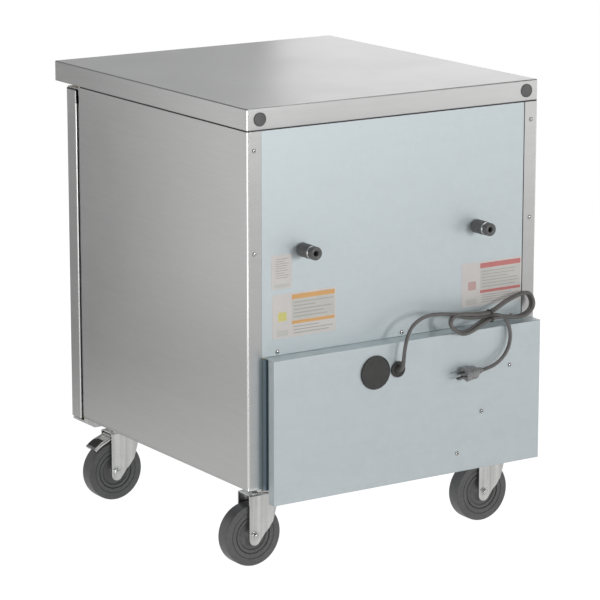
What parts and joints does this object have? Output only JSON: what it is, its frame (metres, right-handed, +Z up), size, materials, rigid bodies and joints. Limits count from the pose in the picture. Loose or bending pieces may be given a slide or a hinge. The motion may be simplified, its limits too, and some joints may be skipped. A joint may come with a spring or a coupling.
{
  "type": "proofing cabinet",
  "caption": "Undercounter proofing cabinet on swivel casters: one hinged door, stainless worktop, rear machine cover and tied mains lead.",
  "frame": {"origin": "middle of the footprint on the floor, casters, brake pedals and wall spacers included", "axes": "+Z up, +Y towards the rear and the wall spacers, +X towards the hinge side of the door"},
  "size_m": [0.7277, 0.8321, 0.926],
  "materials": {
    "stainless": "satin",
    "galvanised": "satin",
    "zinc_plate": "satin",
    "liner_aluminium": "satin",
    "foam": "matte",
    "black_plastic": "matte",
    "white_plastic": "satin",
    "grey_plastic": "matte",
    "gasket_rubber": "matte",
    "caster_tread": "matte",
    "label_film": "satin",
    "black_enamel": "gloss",
    "fin_aluminium": "satin",
    "shelf_epoxy": "satin",
    "heater_plate": "matte",
    "cord_jacket": "matte"
  },
  "bodies": {
    "cabinet": {"worktop": "stainless", "hole_plugs": "black_plastic", "side_panel_left": "stainless", "side_panel_right": "stainless", "back_panel": "galvanised", "base_pan": "galvanised", "insulation": "foam", "cabinet_liner": "liner_aluminium", "machine_housing": "galvanised", "front_frame": "stainless", "rear_cover": "galvanised", "cover_frame": "galvanised", "pan_head_screws": "zinc_plate", "cable_grommet": "black_plastic", "wall_spacers": "black_plastic", "rear_labels": "label_film", "compressor": "black_enamel", "condenser_coil": "fin_aluminium", "fan_motors": "black_enamel", "air_duct_cover": "liner_aluminium", "evaporator_coil": "fin_aluminium", "humidity_pan": "stainless", "pan_heater": "heater_plate", "control_box": "white_plastic", "pilasters": "stainless", "shelf_clips": "stainless", "shelf_lower": "shelf_epoxy", "shelf_middle": "shelf_epoxy", "shelf_upper": "shelf_epoxy", "hinge_brackets": "zinc_plate", "caster_mounts": "zinc_plate", "cord_lead": "cord_jacket", "cord_hank": "cord_jacket", "cord_tail": "cord_jacket", "cord_tie": "black_plastic", "power_plug": "grey_plastic"},
    "door": {"door_skin": "stainless", "door_foam": "foam", "door_liner": "white_plastic", "door_gasket": "gasket_rubber", "door_handle": "black_plastic", "hinge_bushes": "white_plastic"},
    "condenser_rotor": {"condenser_fan": "grey_plastic"},
    "room_rotor": {"room_fan": "grey_plastic"},
    "thermostat_knob": {"temperature_knob": "black_plastic"},
    "rocker": {"power_switch": "black_plastic"},
    "swivel_rear_left": {"fork_rear_left": "zinc_plate", "axle_rear_left": "zinc_plate"},
    "roller_rear_left": {"wheel_rear_left": "caster_tread"},
    "swivel_rear_right": {"fork_rear_right": "zinc_plate", "axle_rear_right": "zinc_plate"},
    "roller_rear_right": {"wheel_rear_right": "caster_tread"},
    "swivel_front_left": {"fork_front_left": "zinc_plate", "axle_front_left": "zinc_plate"},
    "roller_front_left": {"wheel_front_left": "caster_tread"},
    "swivel_front_right": {"fork_front_right": "zinc_plate", "axle_front_right": "zinc_plate"},
    "roller_front_right": {"wheel_front_right": "caster_tread"},
    "pedal_front_left": {"brake_front_left": "zinc_plate"},
    "pedal_front_right": {"brake_front_right": "zinc_plate"}
  },
  "joints": [
    {"name": "door_hinge", "type": "hinge", "parent": "cabinet", "child": "door", "pos_m": [0.32265, -0.3345, 0.5], "axis": [0, 0, 1], "range_deg": [0, 110]},
    {"name": "condenser_fan_spin", "type": "hinge", "parent": "cabinet", "child": "condenser_rotor", "pos_m": [0.1304, 0.2635, 0.3], "axis": [0, 1, 0], "continuous": true},
    {"name": "room_fan_spin", "type": "hinge", "parent": "cabinet", "child": "room_rotor", "pos_m": [-0.0996, 0.2455, 0.762], "axis": [0, 1, 0], "continuous": true},
    {"name": "thermostat_turn", "type": "hinge", "parent": "cabinet", "child": "thermostat_knob", "pos_m": [0.1254, -0.2925, 0.793], "axis": [0, 1, 0], "range_deg": [0, 270]},
    {"name": "power_rocker", "type": "hinge", "parent": "cabinet", "child": "rocker", "pos_m": [0.2204, -0.2815, 0.793], "axis": [1, 0, 0], "range_deg": [0, 14]},
    {"name": "swivel_rear_left", "type": "hinge", "parent": "cabinet", "child": "swivel_rear_left", "pos_m": [0.2674, 0.3035, 0.15], "axis": [0, 0, 1], "continuous": true},
    {"name": "roll_rear_left", "type": "hinge", "parent": "swivel_rear_left", "child": "roller_rear_left", "pos_m": [0.3004, 0.3035, 0.0635], "axis": [0, 1, 0], "continuous": true},
    {"name": "swivel_rear_right", "type": "hinge", "parent": "cabinet", "child": "swivel_rear_right", "pos_m": [-0.2966, 0.3035, 0.15], "axis": [0, 0, 1], "continuous": true},
    {"name": "roll_rear_right", "type": "hinge", "parent": "swivel_rear_right", "child": "roller_rear_right", "pos_m": [-0.2636, 0.3035, 0.0635], "axis": [0, 1, 0], "continuous": true},
    {"name": "swivel_front_left", "type": "hinge", "parent": "cabinet", "child": "swivel_front_left", "pos_m": [0.2674, -0.2445, 0.15], "axis": [0, 0, 1], "continuous": true},
    {"name": "roll_front_left", "type": "hinge", "parent": "swivel_front_left", "child": "roller_front_left", "pos_m": [0.3004, -0.2445, 0.0635], "axis": [0, 1, 0], "continuous": true},
    {"name": "swivel_front_right", "type": "hinge", "parent": "cabinet", "child": "swivel_front_right", "pos_m": [-0.2966, -0.2445, 0.15], "axis": [0, 0, 1], "continuous": true},
    {"name": "roll_front_right", "type": "hinge", "parent": "swivel_front_right", "child": "roller_front_right", "pos_m": [-0.2636, -0.2445, 0.0635], "axis": [0, 1, 0], "continuous": true},
    {"name": "brake_front_left", "type": "hinge", "parent": "swivel_front_left", "child": "pedal_front_left", "pos_m": [0.3074, -0.2445, 0.139], "axis": [0, 1, 0], "range_deg": [0, 5]},
    {"name": "brake_front_right", "type": "hinge", "parent": "swivel_front_right", "child": "pedal_front_right", "pos_m": [-0.2566, -0.2445, 0.139], "axis": [0, 1, 0], "range_deg": [0, 5]}
  ]
}
